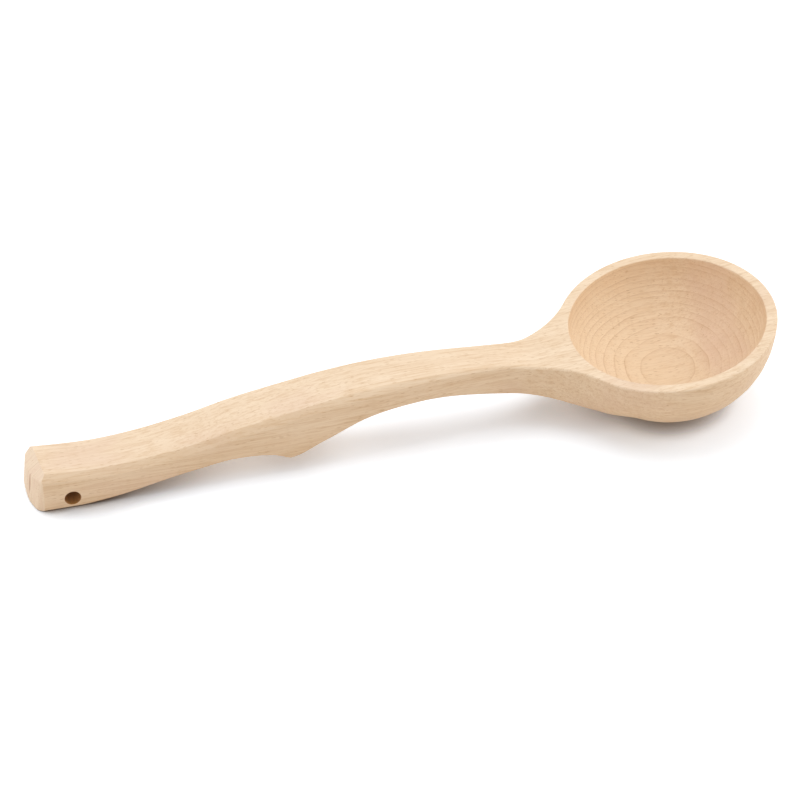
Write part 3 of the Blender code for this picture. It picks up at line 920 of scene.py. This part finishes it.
def make_floor():
    mesh = bpy.data.meshes.new("floor")
    bm = bmesh.new()
    bmesh.ops.create_grid(bm, x_segments=1, y_segments=1, size=FLOOR_SIZE)
    bm.to_mesh(mesh)
    bm.free()
    floor = add_object("floor", mesh)
    floor.location.z = cad_box[0].z - FLOOR_GAP
    mesh.materials.append(floor_material())


# Light
WORLD_LIGHT = (0.78, 0.78, 0.78, 1.0)
WORLD_SEEN = (1.0, 1.0, 1.0, 1.0)
TOP_POWER = 4.6
RIGHT_POWER = 6.0
BACK_POWER = 3.4
LEFT_POWER = 1.0


def softbox(name, centre, target, size, power):
    light = bpy.data.lights.new(name, "AREA")
    light.shape = "RECTANGLE"
    light.size, light.size_y = size
    light.energy = power
    lamp = add_object(name, light)
    lamp.location = centre
    lamp.rotation_euler = (Vector(target) - Vector(centre)).to_track_quat("-Z", "Y").to_euler()
    lamp.visible_camera = False


def make_light():
    world = bpy.data.worlds.new("studio")
    bpy.context.scene.world = world
    world.use_nodes = True
    tree = world.node_tree
    tree.nodes.clear()
    n = Nodes(tree)
    colour = n.mix(seen_ray(n), WORLD_LIGHT, WORLD_SEEN)
    back = n.add("ShaderNodeBackground", {"Color": colour, "Strength": 1.0})
    out = n.add("ShaderNodeOutputWorld")
    n.put(back.outputs[0], out.inputs[0])
    softbox("top_softbox", (0.0, 0.2, 1.3), (0.0, 0.0, 0.0), (0.9, 0.8), TOP_POWER)
    softbox("right_softbox", (1.5, 0.0, 0.5), (0.1, 0.0, 0.03), (1.0, 1.0), RIGHT_POWER)
    softbox("back_softbox", (0.0, 1.6, 0.5), (0.0, 0.0, 0.03), (1.4, 0.8), BACK_POWER)
    softbox("left_card", (-0.9, 0.25, 0.1), (-0.19, 0.0, 0.01), (0.3, 0.3), LEFT_POWER)


# Camera: where the photograph's own perspective puts it, with angles in radians
FOCAL = 135.0
SENSOR = 36.0
TURN = -0.25
TILT = 0.6965
CAMERA_BACK = 1.55559          # from the aim, against the view
CAMERA_LEFT = 0.13593
CAMERA_DOWN = 0.00654
AIM_HEIGHT = 0.0016            # above the floor, at the bowl's centre


def make_camera():
    right = Vector((math.cos(TURN), math.sin(TURN), 0.0))
    level = Vector((-math.sin(TURN), math.cos(TURN), 0.0))
    ahead = level * math.cos(TILT) - Vector((0.0, 0.0, math.sin(TILT)))
    up = right.cross(ahead)
    aim = Vector((BOWL_X, 0.0, AIM_HEIGHT))
    camera = add_object("camera", bpy.data.cameras.new("camera"))
    camera.data.lens = FOCAL
    camera.data.sensor_width = SENSOR
    camera.data.clip_start = 0.05
    camera.data.clip_end = 100.0
    camera.rotation_euler = ahead.to_track_quat("-Z", "Y").to_euler()
    camera.location = aim - CAMERA_BACK * ahead - CAMERA_LEFT * right - CAMERA_DOWN * up
    bpy.context.scene.camera = camera


ladle = make_ladle()
ladle.data.materials.clear()
ladle.data.materials.append(beech())
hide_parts("ladle")
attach(ladle, "root")
make_floor()
make_light()
make_camera()
bpy.context.scene.view_settings.view_transform = "Standard"
